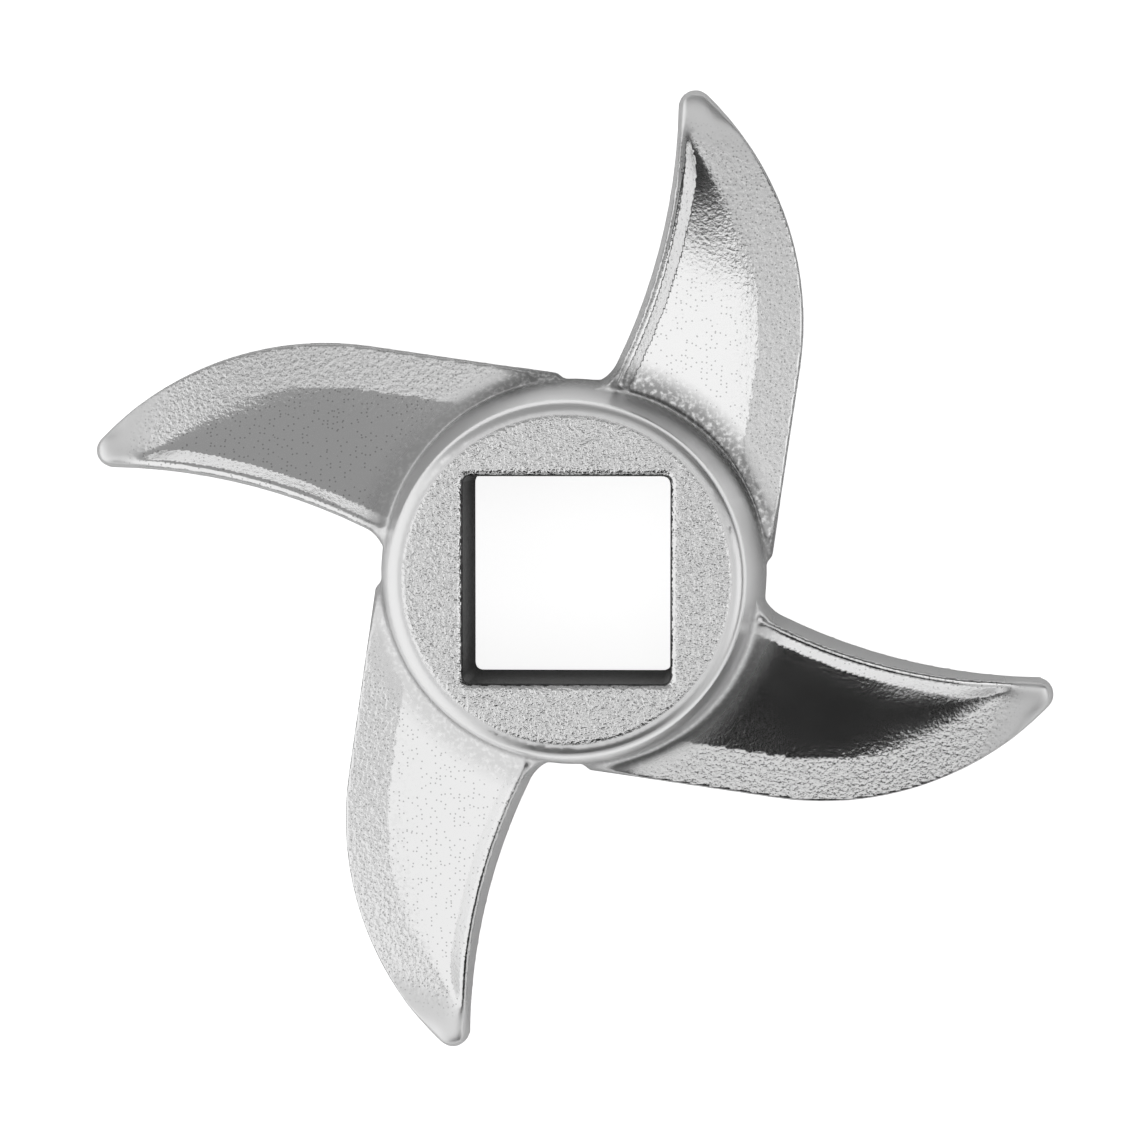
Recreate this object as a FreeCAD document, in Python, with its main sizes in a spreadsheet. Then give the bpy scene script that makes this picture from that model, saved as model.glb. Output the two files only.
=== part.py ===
import FreeCAD, Part
import math
import os

from FreeCAD import Placement, Rotation, Vector

# Meat grinder knife, one casting of stainless steel, in millimetres.
# The knife lies on its cutting side, Z = 0, with its turning axis on Z.
# The boss that faces the feed screw points up.
# The first blade reaches towards +Y and the others are turned copies of it.

os.makedirs("parts", exist_ok=True)
doc = FreeCAD.newDocument("grinder_knife")

# Driving dimensions: lengths in millimetres, angles in degrees
sheet = doc.addObject("Spreadsheet::Sheet", "sizes")
DRIVING = {
    # hub with its square hole for the shank of the feed screw
    "square_hole": 12.5,
    "square_corner_round": 0.4,
    "hole_edge_round": 0.4,
    "hub_corner_wall": 3.51,
    "hub_height": 12.0,
    "hub_draft": 7.4,
    "boss_rim_round": 0.8,
    "foot_fillet": 0.3,
    # blade outline on the cutting side
    "blade_count": 4,
    "swing_diameter": 63.1,
    "tip_angle": 75.3,
    "tip_round": 1.1,
    "leading_radius": 38.4,
    "leading_root_angle": 80.5,
    "trailing_radius": 20.0,
    "flank_angle": 8.3,
    "flank_step": 0.42,
    "neck_inset": 0.35,
    "root_fillet": 2.3,
    # blade section: a lip along the leading edge, a scoop behind it and a low outer band
    "blank_height": 7.0,
    "blade_draft": 5.5,
    "lip_width": 1.52,
    "lip_least_width": 0.75,
    "lip_round": 0.3,
    "lip_back_angle": 47.0,
    "scoop_slope": 21.0,
    "scoop_hollow": 0.25,
    "scoop_full_width": 4.0,
    "scoop_least_width": 0.4,
    "band_width": 2.9,
    "band_height": 1.9,
    "band_slope": 5.0,
    # cutting side: only a land behind each edge and the hub touch the plate
    "land_width": 2.6,
    "hub_land": 1.2,
    "relief_depth": 0.35,
}
for row, (alias, value) in enumerate(DRIVING.items(), start=1):
    sheet.set(f"A{row}", alias)
    sheet.set(f"B{row}", str(value))
    sheet.setAlias(f"B{row}", alias)
doc.recompute()


def size(alias):
    return float(sheet.get(alias))


def slope(alias):
    """The tangent of an angle kept in the sheet."""
    return math.tan(math.radians(size(alias)))


def polar(radius, degrees):
    angle = math.radians(degrees)
    return Vector(radius * math.cos(angle), radius * math.sin(angle), 0)


def heading(start, end):
    """The direction from one point of the plan to another, in degrees."""
    return math.degrees(math.atan2(end.y - start.y, end.x - start.x))


body = doc.addObject("PartDesign::Body", "knife")
body.Label = "knife"


def origin_feature(role):
    return next(item for item in body.Origin.OriginFeatures if item.Role == role)


def add_sketch(name, plane, offset=Placement()):
    sketch = body.newObject("Sketcher::SketchObject", name)
    sketch.AttachmentSupport = [(origin_feature(plane), "")]
    sketch.MapMode = "FlatFace"
    sketch.AttachmentOffset = offset
    return sketch


# Blade outline: the leading edge is an arc hollow towards the cut, the trailing edge an arc
# that runs out into a straight flank, and a small round joins them at the tip.
axis = Vector()
half = size("square_hole") / 2
hub_foot_radius = half * math.sqrt(2) + size("hub_corner_wall")
neck_radius = hub_foot_radius - size("neck_inset")
leading_radius = size("leading_radius")
trailing_radius = size("trailing_radius")
tip_round = size("tip_round")
root_fillet = size("root_fillet")


def circles_meet(centre_a, radius_a, centre_b, radius_b, side):
    """Where two circles meet, to the left (1) or right (-1) of the line from a to b."""
    along = centre_b - centre_a
    distance = along.Length
    reach = (distance**2 + radius_a**2 - radius_b**2) / (2 * distance)
    rise = math.sqrt(radius_a**2 - reach**2)
    along.normalize()
    across = Vector(-along.y, along.x, 0)
    return centre_a + along * reach + across * (rise * side)


def towards(start, target, length):
    return start + (target - start).normalize() * length


def mid_arc(centre, radius, start, end):
    """The point of a circle half-way from start to end, on the shorter way round."""
    return towards(centre, (start + end) * 0.5, radius)


def turned(point, blade):
    """The point carried round to another blade, clockwise seen from the boss side."""
    return Rotation(Vector(0, 0, 1), -360 * blade / size("blade_count")).multVec(point)


tip_centre = polar(size("swing_diameter") / 2 - tip_round, size("tip_angle"))
leading_root = polar(neck_radius, size("leading_root_angle"))
leading_centre = circles_meet(tip_centre, leading_radius + tip_round, leading_root, leading_radius, -1)
root_centre = circles_meet(axis, neck_radius + root_fillet, leading_centre, leading_radius - root_fillet, -1)
root_neck = towards(root_centre, axis, root_fillet)
root_end = towards(leading_centre, root_centre, leading_radius)
tip_start = towards(leading_centre, tip_centre, leading_radius)
tip_top = towards(axis, tip_centre, tip_centre.Length + tip_round)

# The trailing arc touches the tip round on one side and the flank on the other
flank_normal = polar(1, -size("flank_angle"))
flank_along = polar(1, 90 - size("flank_angle"))
across = neck_radius + size("flank_step") - trailing_radius - tip_centre.dot(flank_normal)
down = math.sqrt((trailing_radius - tip_round) ** 2 - across**2)
trailing_centre = tip_centre + flank_normal * across - flank_along * down
tip_end = towards(trailing_centre, tip_centre, trailing_radius)
flank_top = trailing_centre + flank_normal * trailing_radius

# The flank runs on until it meets the root fillet of the next blade
next_root = turned(root_centre, 1)
flank_gap = (flank_top - next_root).dot(flank_normal)
heel = next_root + flank_normal * flank_gap + flank_along * math.sqrt(root_fillet**2 - flank_gap**2)
root_start = turned(heel, -1)

outline = add_sketch("outline", "XY_Plane")
for blade in range(int(size("blade_count"))):
    arcs = [
        (root_start, root_neck, root_end),
        (root_end, mid_arc(leading_centre, leading_radius, root_end, tip_start), tip_start),
        (tip_start, tip_top, tip_end),
        (tip_end, mid_arc(trailing_centre, trailing_radius, tip_end, flank_top), flank_top),
    ]
    for start, middle, end in arcs:
        outline.addGeometry(Part.Arc(turned(start, blade), turned(middle, blade), turned(end, blade)))
    outline.addGeometry(Part.LineSegment(turned(flank_top, blade), turned(heel, blade)))

blank = body.newObject("PartDesign::Pad", "blank")
blank.Profile = outline
blank.setExpression("Length", "sizes.blank_height")
blank.setExpression("TaperAngle", "-sizes.blade_draft")
doc.recompute()

# The scoop is cut by a loft through upright sections that turn about the leading edge's centre.
# In each of them u is the distance behind the leading edge and z the height.
SECTIONS = 16
CROWDING = 1.3
PAST_TIP = 5.0
CLEARANCE = 3.0
OVERHANG = 0.05
EXACT = 0.001
first_turn = heading(leading_centre, turned(towards(axis, root_centre, neck_radius), 1))
last_turn = heading(leading_centre, tip_centre) + PAST_TIP


def plan_point(turn, u):
    return leading_centre + polar(leading_radius + u, turn)


def edge_depth(point):
    """How far a point of the plan lies inside the trailing edge."""
    if heading(trailing_centre, point) >= -size("flank_angle"):
        return trailing_radius - (point - trailing_centre).Length
    return (flank_top - point).dot(flank_normal)


def scoop_height(turn, u):
    """The scoop rises evenly from its crease with the outer band."""
    inside = edge_depth(plan_point(turn, u)) - size("band_width")
    return size("band_height") + max(inside, 0) * slope("scoop_slope")


def crease_distance(turn):
    """Where a section crosses the crease, found by halving."""
    near = 0.0
    far = leading_radius
    while far - near > EXACT:
        middle = (near + far) / 2
        if edge_depth(plan_point(turn, middle)) > size("band_width"):
            near = middle
        else:
            far = middle
    return near


def lip_crown(foot_u, foot_z):
    """Centre of the round on top of the lip, tangent to the leading face and the lip's back."""
    crown = size("lip_round")
    draft = math.radians(size("blade_draft"))
    back = math.radians(size("lip_back_angle"))
    reach = foot_u * math.sin(back) + foot_z * math.cos(back)
    inset = (crown - OVERHANG) / math.cos(draft)
    crown_z = (reach - crown - inset * math.sin(back)) / (math.tan(draft) * math.sin(back) + math.cos(back))
    crown_u = inset + crown_z * math.tan(draft)
    return Vector(crown_u, crown_z, 0)


def add_section(name, turn):
    """The space above the blade, from in front of the leading face to beyond the trailing edge."""
    crease_u = crease_distance(turn)
    fading = min(1, crease_u / (2 * size("lip_width")))
    wide_share = fading**2 * (3 - 2 * fading)
    foot_u = size("lip_least_width") + (size("lip_width") - size("lip_least_width")) * wide_share
    half_gap = (crease_u - foot_u) / 2
    crease_u = foot_u + half_gap + math.hypot(half_gap, size("scoop_least_width"))
    foot = Vector(foot_u, scoop_height(turn, foot_u), 0)
    crease = Vector(crease_u, size("band_height"), 0)
    crown_centre = lip_crown(foot.x, foot.y)
    face_end = crown_centre + polar(size("lip_round"), 180 - size("blade_draft"))
    lip_top = crown_centre + polar(size("lip_round"), 90)
    lip_back = crown_centre + polar(size("lip_round"), 90 - size("lip_back_angle"))
    sag = size("scoop_hollow") * min(1, (crease_u - foot_u) / size("scoop_full_width"))
    hollow = (foot + crease) * 0.5 - Vector(0, sag, 0)
    band_run = size("band_width") + CLEARANCE
    band_end = crease + Vector(band_run, -band_run * slope("band_slope"), 0)
    outside = Vector(-CLEARANCE, face_end.y, 0)
    outside_top = Vector(outside.x, size("blank_height") + CLEARANCE, 0)
    band_top = Vector(band_end.x, outside_top.y, 0)
    turning = Placement(Vector(leading_centre.x, 0, -leading_centre.y), Rotation(Vector(0, 1, 0), turn))
    edge_origin = Placement(Vector(leading_radius, 0, 0), Rotation())
    sketch = add_sketch(name, "XZ_Plane", turning * edge_origin)
    sketch.addGeometry(Part.LineSegment(outside, face_end))
    sketch.addGeometry(Part.Arc(face_end, lip_top, lip_back))
    sketch.addGeometry(Part.LineSegment(lip_back, foot))
    sketch.addGeometry(Part.Arc(foot, hollow, crease))
    sketch.addGeometry(Part.LineSegment(crease, band_end))
    sketch.addGeometry(Part.LineSegment(band_end, band_top))
    sketch.addGeometry(Part.LineSegment(band_top, outside_top))
    sketch.addGeometry(Part.LineSegment(outside_top, outside))
    return sketch


sections = []
for number in range(SECTIONS):
    share = 1 - (1 - number / (SECTIONS - 1)) ** CROWDING
    turn = first_turn + share * (last_turn - first_turn)
    sections.append(add_section(f"section_{number}", turn))
doc.recompute()
scoop = body.newObject("PartDesign::SubtractiveLoft", "scoop")
scoop.Profile = sections[0]
scoop.Sections = sections[1:]
body.Tip = scoop
doc.recompute()

cuts = body.newObject("PartDesign::PolarPattern", "blades")
cuts.Originals = [scoop]
cuts.Axis = (origin_feature("Z_Axis"), [""])
cuts.Angle = 360
cuts.setExpression("Occurrences", "sizes.blade_count")
body.Tip = cuts
doc.recompute()


# Hub: a drafted boss turned about the axis, with a rounded rim
rim = size("boss_rim_round")
hub_foot = Vector(hub_foot_radius, 0, 0)
rim_z = size("hub_height") - rim
rim_x = hub_foot_radius - rim_z * slope("hub_draft") - rim / math.cos(math.radians(size("hub_draft")))
rim_centre = Vector(rim_x, rim_z, 0)
rim_low = rim_centre + polar(rim, size("hub_draft"))
rim_mid = rim_centre + polar(rim, (90 + size("hub_draft")) / 2)
rim_top = rim_centre + polar(rim, 90)
profile = add_sketch("boss_profile", "XZ_Plane")
profile.addGeometry(Part.LineSegment(axis, hub_foot))
profile.addGeometry(Part.LineSegment(hub_foot, rim_low))
profile.addGeometry(Part.Arc(rim_low, rim_mid, rim_top))
profile.addGeometry(Part.LineSegment(rim_top, Vector(0, rim_top.y, 0)))
profile.addGeometry(Part.LineSegment(Vector(0, rim_top.y, 0), axis))
boss = body.newObject("PartDesign::Revolution", "boss")
boss.Profile = profile
boss.ReferenceAxis = (origin_feature("Z_Axis"), [""])
boss.Angle = 360
body.Tip = boss
doc.recompute()

# Square hole with its corners a little round
corner = size("square_corner_round")
corner_centre = Vector(half - corner, half - corner, 0)
side_start = Vector(half, corner - half, 0)
side_end = Vector(half, corner_centre.y, 0)
corner_mid = corner_centre + polar(corner, 45)
corner_end = Vector(corner_centre.x, half, 0)
hole_sketch = add_sketch("hole_square", "XY_Plane")
for side in range(4):
    quarter = Rotation(Vector(0, 0, 1), 90 * side)
    hole_sketch.addGeometry(Part.LineSegment(quarter.multVec(side_start), quarter.multVec(side_end)))
    hole_sketch.addGeometry(
        Part.Arc(quarter.multVec(side_end), quarter.multVec(corner_mid), quarter.multVec(corner_end))
    )
hole = body.newObject("PartDesign::Pocket", "square_hole")
hole.Profile = hole_sketch
hole.Type = "ThroughAll"
hole.Reversed = True
body.Tip = hole
doc.recompute()

# The mouths of the hole are eased, and a small fillet runs round the foot of the boss
ON_CONE = 0.02
ABOVE_PLATE = 0.1
STEPS = 6


def points_along(edge):
    """Points spread evenly along an edge, with its two ends."""
    span = edge.LastParameter - edge.FirstParameter
    return [edge.valueAt(edge.FirstParameter + span * step / STEPS) for step in range(STEPS + 1)]


def on_mouth(edge):
    """Whether an edge belongs to the square where the hole opens, above or below."""
    points = points_along(edge)
    level = all(abs(point.z - size("hub_height")) < EXACT for point in points)
    level = level or all(abs(point.z) < EXACT for point in points)
    return level and all(math.hypot(point.x, point.y) < half * math.sqrt(2) for point in points)


def on_foot(edge):
    """Whether an edge runs where a blade's upper side meets the boss."""
    for point in points_along(edge):
        wall = hub_foot_radius - point.z * slope("hub_draft")
        if abs(math.hypot(point.x, point.y) - wall) > ON_CONE:
            return False
        if not ABOVE_PLATE < point.z < size("blank_height"):
            return False
    return True


def add_fillet(name, base, chosen, radius):
    """Round the chosen edges of a feature, with the radius kept in the sheet."""
    edges = [f"Edge{number}" for number, edge in enumerate(base.Shape.Edges, 1) if chosen(edge)]
    fillet = body.newObject("PartDesign::Fillet", name)
    fillet.Base = (base, edges)
    fillet.setExpression("Radius", "sizes." + radius)
    body.Tip = fillet
    doc.recompute()
    return fillet


eased = add_fillet("eased_mouths", hole, on_mouth, "hole_edge_round")
footed = add_fillet("foot_fillet", eased, on_foot, "foot_fillet")

# Relief of the cutting side: it starts a land's width behind each leading edge
# and leaves a ring round the hub.
relief_arc = leading_radius + size("land_width")
hub_ring = hub_foot_radius + size("hub_land")
relief_root = circles_meet(axis, hub_ring, leading_centre, relief_arc, -1)
relief_tip = plan_point(last_turn, size("land_width"))
relief_far = plan_point(last_turn, trailing_radius)
relief_out = flank_top + flank_normal * CLEARANCE
relief_heel = towards(axis, heel, hub_ring)
relief_sketch = add_sketch("relief_outline", "XY_Plane")
for blade in range(int(size("blade_count"))):
    arcs = [
        (relief_root, mid_arc(leading_centre, relief_arc, relief_root, relief_tip), relief_tip),
        (relief_heel, mid_arc(axis, hub_ring, relief_heel, relief_root), relief_root),
    ]
    for start, middle, end in arcs:
        relief_sketch.addGeometry(Part.Arc(turned(start, blade), turned(middle, blade), turned(end, blade)))
    run = [turned(point, blade) for point in (relief_tip, relief_far, relief_out, relief_heel)]
    for start, end in zip(run, run[1:]):
        relief_sketch.addGeometry(Part.LineSegment(start, end))
relief = body.newObject("PartDesign::Pocket", "relief")
relief.Profile = relief_sketch
relief.Reversed = True
relief.setExpression("Length", "sizes.relief_depth")
body.Tip = relief
doc.recompute()

# Every feature must have built before the piece is written
for feature in doc.Objects:
    if "Invalid" in feature.State or "Error" in feature.State:
        raise RuntimeError(f"{feature.Name} did not build")
if body.Shape.isNull() or not body.Shape.isValid() or len(body.Shape.Solids) != 1:
    raise RuntimeError("the knife is not one sound solid")
body.Shape.exportStep("parts/knife.step")
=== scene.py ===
import math

import bmesh
import bpy
from mathutils import Matrix, Vector
from mathutils.bvhtree import BVHTree
from mathutils.interpolate import poly_3d_calc


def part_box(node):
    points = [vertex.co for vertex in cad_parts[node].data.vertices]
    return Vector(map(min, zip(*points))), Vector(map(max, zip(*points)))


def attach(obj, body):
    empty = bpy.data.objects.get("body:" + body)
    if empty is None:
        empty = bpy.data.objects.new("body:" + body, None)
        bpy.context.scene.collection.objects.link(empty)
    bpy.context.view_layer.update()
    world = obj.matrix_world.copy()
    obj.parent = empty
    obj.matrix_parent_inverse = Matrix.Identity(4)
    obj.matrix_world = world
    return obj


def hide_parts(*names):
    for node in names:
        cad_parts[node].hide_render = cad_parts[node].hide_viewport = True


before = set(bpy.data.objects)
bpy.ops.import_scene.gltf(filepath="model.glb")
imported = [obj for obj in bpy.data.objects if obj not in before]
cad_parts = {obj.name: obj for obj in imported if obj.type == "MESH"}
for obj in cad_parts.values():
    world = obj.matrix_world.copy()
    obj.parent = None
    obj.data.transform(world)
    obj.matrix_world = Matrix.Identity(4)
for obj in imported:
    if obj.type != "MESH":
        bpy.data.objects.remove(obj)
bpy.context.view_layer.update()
scene = bpy.context.scene

# Knife: one steel casting, tumbled after casting, so its skin is satin with a fine grain
# and scattered pits, while its walls and rims are smoother. Its edges are worn round by the
# tumbling, apart from those of the ground cutting side, which lies on the floor.
MM = 0.001
MERGE_GAP = 0.001 * MM
SKIN_STEP = 0.18 * MM
GROUND_RISE = 0.9 * MM
TUMBLE_TURNS = 8
SMOOTHING = 0.5
REGROWTH = -0.51
KEPT_SHARE = 0.69
FOOT_RADIUS = 12.35 * MM
FOOT_LOWEST = 1.2 * MM
FOOT_HIGHEST = 8.5 * MM
FOOT_TURNS = 36
FOOT_BLEND = 1.7 * MM
FOOT_CORE = 0.3 * MM
WALL_DRAFT = math.radians(7.4)
ON_WALL = 0.15 * MM
LOOK_OUT = 0.3 * MM
TIP_REACH = 30.45 * MM
TIP_ANGLE = math.radians(75.3)
TIP_TURNS = 30
TIP_BLEND = 3.2 * MM
TIP_CORE = 1.0 * MM
BLADE_PITCH = math.radians(90)
HOLE_REACH = 6.4 * MM
HOLE_TOP = 11.2 * MM
FACING_DOWN = -0.9


def foot_gap(spot):
    """How far a point of the boss or of a blade's upper side is from where the two meet."""
    if not FOOT_LOWEST < spot.z < FOOT_HIGHEST:
        return FOOT_BLEND
    wall = FOOT_RADIUS - spot.z * math.tan(WALL_DRAFT)
    out = math.hypot(spot.x, spot.y) - wall
    if out > ON_WALL:
        return out
    outward = Vector((spot.x, spot.y, 0)).normalized() * LOOK_OUT
    below = casting_tree.ray_cast(spot + outward, Vector((0, 0, -1)))
    return below[3] if below[0] else FOOT_BLEND


def tip_gap(spot):
    """How far a point is from the middle of the nearest blade's tip."""
    turned = math.atan2(spot.y, spot.x) - TIP_ANGLE
    turned -= round(turned / BLADE_PITCH) * BLADE_PITCH
    away = math.hypot(spot.x, spot.y)
    return math.hypot(away * math.cos(turned) - TIP_REACH, away * math.sin(turned))


def out_of_sight(vertex):
    """Whether a vertex lies on the cutting side or deep in the square hole."""
    spot = vertex.co
    in_hole = max(abs(spot.x), abs(spot.y)) < HOLE_REACH and spot.z < HOLE_TOP
    return in_hole or vertex.normal.z < FACING_DOWN


def smooth(shape, vertices, factor):
    """Move vertices towards the middle of their neighbours, or away from it."""
    axes = {"use_axis_x": True, "use_axis_y": True, "use_axis_z": True}
    bmesh.ops.smooth_vert(shape, verts=vertices, factor=factor, **axes)


def soften(shape, gaps, turns, widest, narrowest):
    """Smooth a zone round a corner again and again, while the zone grows narrower."""
    for turn in range(turns):
        reach = widest + (narrowest - widest) * turn / turns
        smooth(shape, [vertex for gap, vertex in gaps if gap < reach], SMOOTHING)


def finished(mesh, name, kind, **settings):
    """The mesh that a modifier makes of another mesh."""
    holder = bpy.data.objects.new(name, mesh)
    scene.collection.objects.link(holder)
    if kind == "DECIMATE":
        group = holder.vertex_groups.new(name="out_of_sight")
        group.add(settings.pop("chosen"), 1.0, "REPLACE")
        settings["vertex_group"] = group.name
    modifier = holder.modifiers.new(name, kind)
    for key, value in settings.items():
        setattr(modifier, key, value)
    applied = holder.evaluated_get(bpy.context.evaluated_depsgraph_get())
    result = bpy.data.meshes.new_from_object(applied)
    bpy.data.objects.remove(holder)
    return result


# The solid's faces are merged and covered with an even skin, which is then worn and thinned
cad_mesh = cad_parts["knife"].data
shape = bmesh.new()
shape.from_mesh(cad_mesh)
bmesh.ops.remove_doubles(shape, verts=shape.verts, dist=MERGE_GAP)
casting = bpy.data.meshes.new("merged_casting")
shape.to_mesh(casting)
shape.free()
casting_points = [vertex.co for vertex in casting.vertices]
casting_faces = [face.vertices for face in casting.polygons]
casting_tree = BVHTree.FromPolygons(casting_points, casting_faces)
skin = finished(casting, "even_skin", "REMESH", mode="VOXEL", voxel_size=SKIN_STEP)
shape = bmesh.new()
shape.from_mesh(skin)
worn = [vertex for vertex in shape.verts if vertex.co.z > GROUND_RISE]
for turn in range(TUMBLE_TURNS):
    smooth(shape, worn, SMOOTHING)
    smooth(shape, worn, REGROWTH)
foot_gaps = [(foot_gap(vertex.co), vertex) for vertex in worn]
soften(shape, foot_gaps, FOOT_TURNS, FOOT_BLEND, FOOT_CORE)
tip_gaps = [(tip_gap(vertex.co), vertex) for vertex in worn]
soften(shape, tip_gaps, TIP_TURNS, TIP_BLEND, TIP_CORE)
shape.normal_update()
hidden = [vertex.index for vertex in shape.verts if out_of_sight(vertex)]
shape.to_mesh(skin)
shape.free()
knife_mesh = finished(skin, "thinned", "DECIMATE", ratio=KEPT_SHARE, chosen=hidden)
knife_mesh.name = "cast_knife"
for face in knife_mesh.polygons:
    face.use_smooth = True

# The exact surface gives the normals wherever the worn one still follows it
EXACT_TO = math.cos(math.radians(20))
WORN_FROM = math.cos(math.radians(38))
exact_points = [vertex.co.copy() for vertex in cad_mesh.vertices]
exact_faces = [list(face.vertices) for face in cad_mesh.polygons]
exact_tree = BVHTree.FromPolygons(exact_points, exact_faces)
exact_normals = [corner.vector.copy() for corner in cad_mesh.corner_normals]


def surface_normal(vertex):
    """The normal of the nearest point of the exact surface, or the worn one past a sharp edge."""
    nearest = exact_tree.find_nearest(vertex.co)
    face = cad_mesh.polygons[nearest[2]]
    weights = poly_3d_calc([exact_points[corner] for corner in face.vertices], nearest[0])
    exact = Vector()
    for weight, corner in zip(weights, face.loop_indices):
        exact += exact_normals[corner] * weight
    exact.normalize()
    share = (exact.dot(vertex.normal) - WORN_FROM) / (EXACT_TO - WORN_FROM)
    share = min(max(share, 0), 1)
    share *= min(foot_gap(vertex.co) / FOOT_BLEND, 1)
    share *= min(max(tip_gap(vertex.co) / TIP_BLEND - 0.5, 0) * 2, 1)
    return vertex.normal.lerp(exact, share).normalized()


knife_normals = [surface_normal(vertex) for vertex in knife_mesh.vertices]
knife_mesh.normals_split_custom_set_from_vertices(knife_normals)
knife = bpy.data.objects.new("cast_knife", knife_mesh)
scene.collection.objects.link(knife)


class Signal:
    """A shader socket that can be used in arithmetic, so that a material reads as a formula."""

    def __init__(self, tree, socket):
        self.tree = tree
        self.socket = socket

    def node(self, kind, settings=None, inputs=None, output=0):
        """Add a node, set its properties and inputs, and return one of its outputs."""
        made = self.tree.nodes.new(kind)
        for name, value in (settings or {}).items():
            setattr(made, name, value)
        for name, value in (inputs or {}).items():
            if isinstance(value, Signal):
                self.tree.links.new(value.socket, made.inputs[name])
            else:
                made.inputs[name].default_value = value
        return Signal(self.tree, made.outputs[output])

    def math(self, operation, first, second=0.0):
        return self.node("ShaderNodeMath", {"operation": operation}, {0: first, 1: second})

    def __add__(self, other):
        return self.math("ADD", self, other)

    def __radd__(self, other):
        return self.math("ADD", other, self)

    def __sub__(self, other):
        return self.math("SUBTRACT", self, other)

    def __rsub__(self, other):
        return self.math("SUBTRACT", other, self)

    def __mul__(self, other):
        return self.math("MULTIPLY", self, other)

    def __rmul__(self, other):
        return self.math("MULTIPLY", other, self)

    def __truediv__(self, other):
        return self.math("DIVIDE", self, other)

    def __rtruediv__(self, other):
        return self.math("DIVIDE", other, self)

    def __abs__(self):
        return self.math("ABSOLUTE", self)

    def or_more(self, other):
        """The greater of two values."""
        return self.math("MAXIMUM", self, other)

    def step(self, low, high):
        """Rise smoothly from 0 to 1 while this value goes from low to high."""
        settings = {"interpolation_type": "SMOOTHSTEP"}
        return self.node("ShaderNodeMapRange", settings, {0: self, 1: low, 2: high})

    def mix(self, colour_a, colour_b):
        """Blend from one colour to another by this value."""
        inputs = {0: self, 6: colour_a, 7: colour_b}
        return self.node("ShaderNodeMix", {"data_type": "RGBA"}, inputs, output=2)


steel = bpy.data.materials.new("cast_steel")
steel.use_nodes = True
tree = steel.node_tree
shader = tree.nodes["Principled BSDF"]
shader.inputs["Metallic"].default_value = 1.0
root = Signal(tree, None)
place = root.node("ShaderNodeTexCoord", output="Object")
facing = root.node("ShaderNodeNewGeometry", output="Normal")
upright = root.node("ShaderNodeSeparateXYZ", inputs={0: facing}, output="Z")
along_x = root.node("ShaderNodeSeparateXYZ", inputs={0: place}, output="X")
along_y = root.node("ShaderNodeSeparateXYZ", inputs={0: place}, output="Y")
height_up = root.node("ShaderNodeSeparateXYZ", inputs={0: place}, output="Z")
plan = root.node("ShaderNodeVectorMath", {"operation": "MULTIPLY"}, {0: place, 1: (1, 1, 0)})
reach_out = root.node("ShaderNodeVectorMath", {"operation": "LENGTH"}, {0: plan}, output="Value")

# Zones: the flat face of the boss, the wall and foot round it, the blades and their worn tips
FACE_RADIUS = 10.1 * MM
FACE_FADE = 0.4 * MM
FOOT_FADE = 2.0 * MM
GRAIN_ENDS = (27.95 * MM, 29.95 * MM)
TIP_WORN = (27.25 * MM, 29.25 * MM)
LEVEL = (0.945, 0.99)
on_face = 1 - reach_out.step(FACE_RADIUS - FACE_FADE, FACE_RADIUS)
on_blade = reach_out.step(FOOT_RADIUS, FOOT_RADIUS + FOOT_FADE)
on_wall = 1 - on_face - on_blade
grained = (on_face + on_blade) * (1 - reach_out.step(*GRAIN_ENDS))
tip_worn = reach_out.step(*TIP_WORN)
level = upright.step(*LEVEL)

# Grain: the fine peel of the tumbled skin, deepest on the face of the boss
GRAIN_SIZE = 0.24 * MM
GRAIN_DEPTH = 0.085 * MM
GRAIN_IN_SCOOP = 0.16
GRAIN_ON_BAND = 0.18
GRAIN_ON_FACE = 0.95
LOW_GRAIN = (0.36, 0.52)
LOW_GRAIN_STAIN = 0.12
grain_settings = {"Vector": place, "Scale": 1 / GRAIN_SIZE, "Detail": 2.0}
grain = root.node("ShaderNodeTexNoise", inputs=grain_settings)
low_grain = 1 - grain.step(*LOW_GRAIN)
grain_share = GRAIN_IN_SCOOP + level * on_blade * GRAIN_ON_BAND + on_face * GRAIN_ON_FACE
peel = grain * grain_share * grained * GRAIN_DEPTH

# Marks: fine upright scratches on the walls of the blades
MARK_SIZE = 0.25 * MM
MARK_DEPTH = 0.030 * MM
STEEP = (0.2, 0.5)
mark_settings = {"Vector": plan, "Scale": 1 / MARK_SIZE, "Detail": 2.0}
marks = root.node("ShaderNodeTexNoise", inputs=mark_settings)
scratched = (1 - upright.step(*STEEP)) * on_blade

# Pits: small dark dots, closer together on the level bands than in the scoops. Their darkness is partly
# the pits' own tone and partly painted shade inside each pit
PIT_SPACING = 0.31 * MM
PIT_EDGE = (0.05, 0.25)
PIT_TONE_AND_SHADE = 0.75
PITS_IN_SCOOP = 0.40
PITS_MORE_ON_BAND = 0.25
PITS_FEWER_ON_FACE = 0.15
PIT_CHOICE = 0.05
PITS_FROM = (0.5, 0.8)
flat_cells = {"voronoi_dimensions": "2D"}
cell_settings = {"Vector": plan, "Scale": 1 / PIT_SPACING}
dots = root.node("ShaderNodeTexVoronoi", flat_cells, cell_settings, output="Distance")
chance = root.node("ShaderNodeTexVoronoi", flat_cells, cell_settings, output="Color")
chosen = root.node("ShaderNodeSeparateColor", inputs={0: chance}, output="Red")
crowded = PITS_IN_SCOOP + level * PITS_MORE_ON_BAND * on_blade - on_face * PITS_FEWER_ON_FACE
left_out = chosen.step(crowded - PIT_CHOICE, crowded + PIT_CHOICE)
pitted = (1 - dots.step(*PIT_EDGE)) * (1 - left_out) * upright.step(*PITS_FROM) * grained
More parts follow.
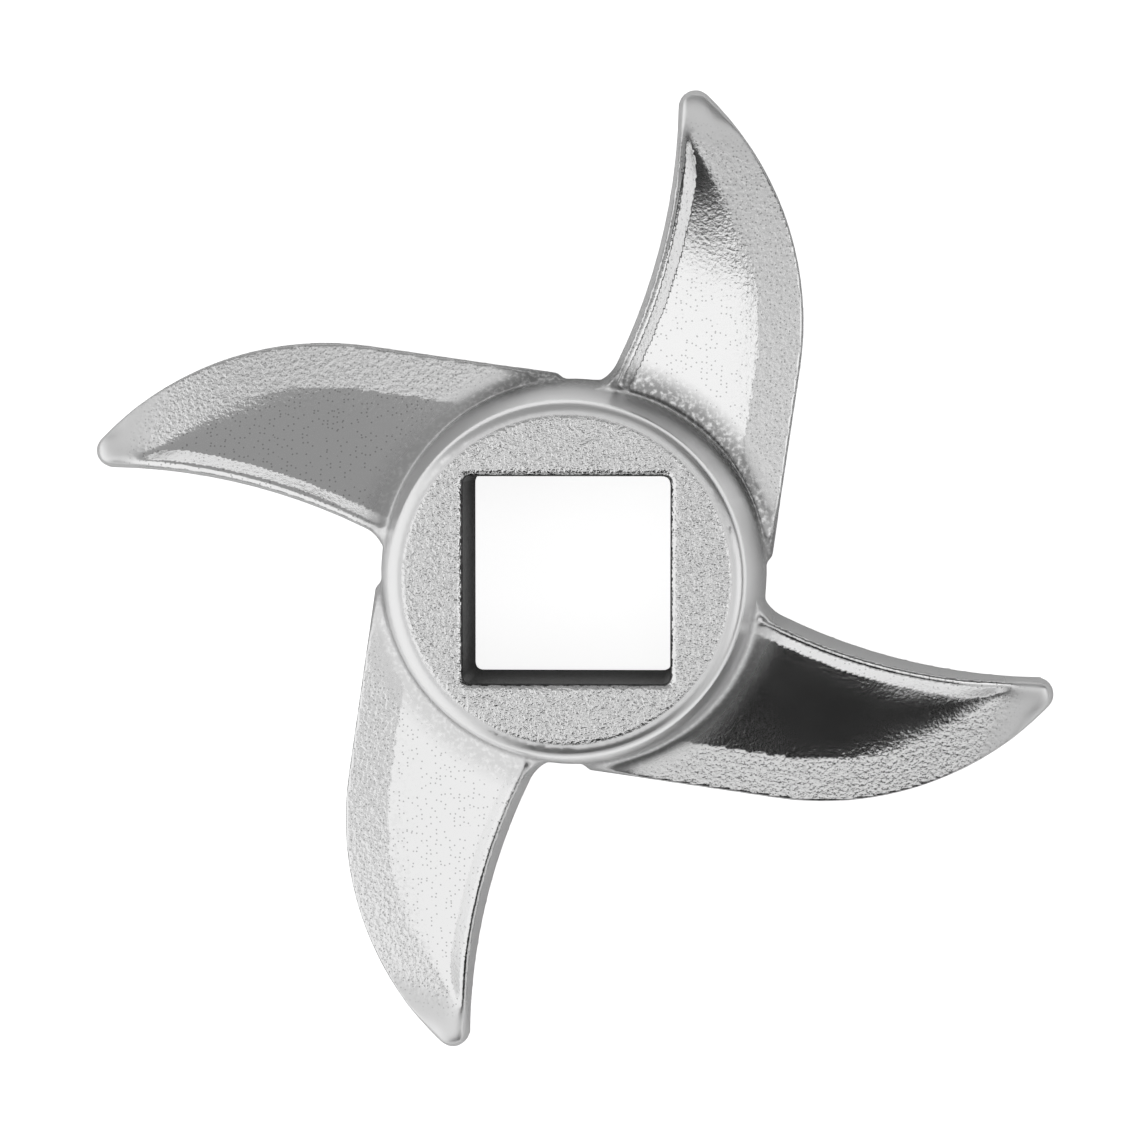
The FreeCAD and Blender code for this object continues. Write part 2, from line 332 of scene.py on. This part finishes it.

# Painted shade: patchy dark colour painted in the corner round the foot of the boss, low down, most of
# it on one side
FOOT_SHADE_SIZE = 0.28 * MM
FOOT_SHADE_INNER = (11.35 * MM, FOOT_RADIUS)
FOOT_SHADE_OUTER = (12.65 * MM, 14.35 * MM)
FOOT_SHADE_TOP = (5 * MM, 8 * MM)
FOOT_SHADE_PATCHES = (0.22, 0.58)
FOOT_SHADE_SIDE = (0.5, 0.87)
FOOT_SHADE_SIDE_EDGE = (0.35, 0.85)
FOOT_SHADE_ALL_ROUND = 0.30
FOOT_SHADE_STRENGTH = 0.95
FOOT_SHADE_LEVEL = (0.990, 0.999)
foot_shade_settings = {"Vector": place, "Scale": 1 / FOOT_SHADE_SIZE, "Detail": 3.0}
foot_shade_noise = root.node("ShaderNodeTexNoise", inputs=foot_shade_settings)
foot_shade_ring = reach_out.step(*FOOT_SHADE_INNER) * (1 - reach_out.step(*FOOT_SHADE_OUTER))
foot_shade_low = 1 - height_up.step(*FOOT_SHADE_TOP)
towards_side = (along_x * FOOT_SHADE_SIDE[0] + along_y * FOOT_SHADE_SIDE[1]) / reach_out
foot_shade_share = FOOT_SHADE_ALL_ROUND + towards_side.step(*FOOT_SHADE_SIDE_EDGE) * (1 - FOOT_SHADE_ALL_ROUND)
not_level = 1 - upright.step(*FOOT_SHADE_LEVEL)
foot_shaded = foot_shade_ring * foot_shade_low * foot_shade_share * foot_shade_noise.step(*FOOT_SHADE_PATCHES) * not_level

# Hole: painted shade, the walls of the square hole are painted near black as the shade inside the hole
HOLE_EDGE = (6.5 * MM, 6.7 * MM)
HOLE_WALL = (0.35, 0.75)
square_reach = abs(along_x).or_more(abs(along_y))
in_hole = (1 - square_reach.step(*HOLE_EDGE)) * (1 - upright.step(*HOLE_WALL))

STEEL = (0.76, 0.76, 0.76, 1)
STAIN_AND_SHADE_STEEL = (0.25, 0.25, 0.25, 1)
HOLE_SHADE_STEEL = (0.10, 0.10, 0.10, 1)
SATIN = 0.13
CLOUD_SCALE = 300.0
CLOUD_ROUGH = 0.06
HOLE_ROUGH = 0.3
WALL_ROUGH = 0.15
TIP_ROUGH = 0.24
cloud_settings = {"Vector": place, "Scale": CLOUD_SCALE, "Detail": 2.0}
cloud = root.node("ShaderNodeTexNoise", inputs=cloud_settings)
# The dark steel colour carries the pits' own tone and painted shade, the grain's own tone, and the
# painted shade round the foot of the boss
stain_and_shade = pitted * PIT_TONE_AND_SHADE
stain_and_shade = stain_and_shade.or_more(low_grain * level * grained * LOW_GRAIN_STAIN)
# The painted shade round the foot of the boss darkens the steel here
stain_and_shade = stain_and_shade.or_more(foot_shaded * FOOT_SHADE_STRENGTH)
# The walls of the square hole take the painted shade colour
colour = in_hole.mix(stain_and_shade.mix(STEEL, STAIN_AND_SHADE_STEEL), HOLE_SHADE_STEEL)
rough = SATIN + cloud * CLOUD_ROUGH + in_hole * HOLE_ROUGH + on_wall * WALL_ROUGH + tip_worn * TIP_ROUGH
height = peel + marks * scratched * MARK_DEPTH
bump = root.node("ShaderNodeBump", inputs={"Height": height, "Strength": 1.0, "Distance": 1.0})
tree.links.new(colour.socket, shader.inputs["Base Color"])
tree.links.new(rough.socket, shader.inputs["Roughness"])
tree.links.new(bump.socket, shader.inputs["Normal"])
knife.data.materials.clear()
knife.data.materials.append(steel)
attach(knife, "root")
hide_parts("knife")

# Floor: plain white paper under the knife, which the camera sees as white with a faint
# shadow. The steel mirrors that white too, less so where it stands close to the paper: this
# fading is a painted shadow of the knife on the paper, as the steel sees it.
FLOOR_SIZE = 3.0
PAPER_WHITE = (0.82, 0.82, 0.82, 1)
FLOOR_LIFT = 0.84
MIRROR_LIFT = 0.59
MIRRORED_SHADOW_FADE = (3 * MM, 22 * MM)
WHITE = (1, 1, 1, 1)
floor_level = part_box("knife")[0].z
bpy.ops.mesh.primitive_plane_add(size=FLOOR_SIZE, location=(0, 0, floor_level))
floor = bpy.context.object
floor.name = "floor"
paper = bpy.data.materials.new("paper")
paper.use_nodes = True
paper.cycles.emission_sampling = "NONE"
tree = paper.node_tree
tree.nodes.clear()
root = Signal(tree, None)
matte = root.node("ShaderNodeBsdfDiffuse", inputs={"Color": PAPER_WHITE})
lift = root.node("ShaderNodeEmission", inputs={"Color": WHITE, "Strength": FLOOR_LIFT})
lifted = root.node("ShaderNodeAddShader", inputs={0: matte, 1: lift})
by_camera = root.node("ShaderNodeLightPath", output="Is Camera Ray")
by_metal = root.node("ShaderNodeLightPath", output="Is Glossy Ray")
travelled = root.node("ShaderNodeLightPath", output="Ray Length")
# The paper's glow for the steel fades on short rays, a painted shadow near the knife
seen = by_camera.or_more(by_metal * travelled.step(*MIRRORED_SHADOW_FADE) * MIRROR_LIFT)
sheet = root.node("ShaderNodeMixShader", inputs={0: seen, 1: matte, 2: lifted})
end = tree.nodes.new("ShaderNodeOutputMaterial")
tree.links.new(sheet.socket, end.inputs["Surface"])
floor.data.materials.append(paper)

# Light tent: a dome of white cloth over the table, with brighter panels to the left and
# right and in the roof, a dim panel beyond the knife, a black card on the near side, and
# dark gaps in the cloth that draw the dark lines in the steel.
TENT_RADIUS = 0.9
LAYER_GAP = 0.01
FACET = 4.0


def panel(name, layer, azimuth, half_width, lowest, highest, strength, lean=0):
    """A piece of the tent that glows evenly. A higher layer hides a lower one.

    Angles are in degrees. The panel moves round by its lean for each degree that it rises.
    """
    columns = max(round(2 * half_width / FACET), 1)
    rows = max(round((highest - lowest) / FACET), 1)
    radius = TENT_RADIUS - layer * LAYER_GAP
    start = math.radians(lowest)
    shape = bmesh.new()
    foot = shape.verts.new((radius * math.cos(start), 0, radius * math.sin(start)))
    rise = math.radians(highest - lowest)
    bmesh.ops.spin(shape, geom=[foot], cent=(0, 0, 0), axis=(0, -1, 0), angle=rise, steps=rows)
    for vertex in shape.verts:
        climb = math.asin(min(vertex.co.z / radius, 1)) - start
        turn = math.radians(azimuth - half_width) + lean * climb
        vertex.co.rotate(Matrix.Rotation(turn, 3, "Z"))
    rib = shape.verts[:] + shape.edges[:]
    width = math.radians(2 * half_width)
    bmesh.ops.spin(shape, geom=rib, cent=(0, 0, 0), axis=(0, 0, 1), angle=width, steps=columns)
    mesh = bpy.data.meshes.new(name)
    shape.to_mesh(mesh)
    shape.free()
    cloth = bpy.data.materials.new(name)
    cloth.use_nodes = True
    cloth.cycles.emission_sampling = "NONE"
    cloth.node_tree.nodes.clear()
    root = Signal(cloth.node_tree, None)
    glow = root.node("ShaderNodeEmission", inputs={"Color": WHITE, "Strength": strength})
    end = cloth.node_tree.nodes.new("ShaderNodeOutputMaterial")
    cloth.node_tree.links.new(glow.socket, end.inputs["Surface"])
    mesh.materials.append(cloth)
    piece = bpy.data.objects.new(name, mesh)
    scene.collection.objects.link(piece)
    piece.visible_camera = False


panel("cloth", 0, 0, 180, 0, 90, 0.66)
panel("roof", 1, 0, 180, 78, 90, 0.95)
panel("left_panel", 1, 192, 49, 0, 70, 1.10)
panel("back_panel", 1, 110, 30, 0, 70, 0.36)
panel("low_gap", 1, 20, 43, 4, 20, 0.05)
panel("right_panel", 1, 4, 28, 20, 66, 1.18)
panel("corner_gap", 1, 62, 18, 20, 52, 0.28)
panel("side_gap", 2, 23.5, 12, 15, 64, 0.04, 0.38)
panel("near_card", 1, -82, 27, 24, 67, 0.02)
panel("near_strip", 2, -62, 45, 67, 78, 0.90)

# World: plain white behind the tent and the table. It shows only past the floor's edge,
# in views from the side.
world = bpy.data.worlds.new("studio")
scene.world = world
world.use_nodes = True
world.cycles.sampling_method = "NONE"
backdrop = world.node_tree.nodes["Background"]
backdrop.inputs["Color"].default_value = WHITE
backdrop.inputs["Strength"].default_value = 1.0

# Camera: straight above, a little to the right of the turning axis and beyond it, as in the
# photograph, and looking at the middle of the knife.
CAMERA_PLACE = Vector((0.0075, 0.0089, 0.202))
CAMERA_AIM = Vector((0.0, 0.0, 0.002))
SEEN_WIDTH = 0.0725
camera_data = bpy.data.cameras.new("camera")
camera = bpy.data.objects.new("camera", camera_data)
camera.location = CAMERA_PLACE
backward = (CAMERA_PLACE - CAMERA_AIM).normalized()
rightward = Vector((0, 1, 0)).cross(backward).normalized()
upward = backward.cross(rightward)
camera.rotation_euler = Matrix((rightward, upward, backward)).transposed().to_euler()
camera_data.angle = 2 * math.atan(SEEN_WIDTH / 2 / (CAMERA_AIM - CAMERA_PLACE).length)
scene.collection.objects.link(camera)
scene.camera = camera
scene.view_settings.view_transform = "Standard"

# Camera body: a black disc just behind the camera, which shows faintly in the level faces
# under it.
BODY_RADIUS = 12 * MM
BODY_SIDES = 48
BODY_BLACK = (0.02, 0.02, 0.02, 1)
BODY_PLACE = CAMERA_PLACE + Vector((0, 0, 1 * MM))
bpy.ops.mesh.primitive_circle_add(
    vertices=BODY_SIDES, radius=BODY_RADIUS, fill_type="NGON", location=BODY_PLACE
)
camera_body = bpy.context.object
camera_body.name = "camera_body"
camera_body.visible_camera = False
black = bpy.data.materials.new("black")
black.use_nodes = True
black.node_tree.nodes["Principled BSDF"].inputs["Base Color"].default_value = BODY_BLACK
camera_body.data.materials.append(black)
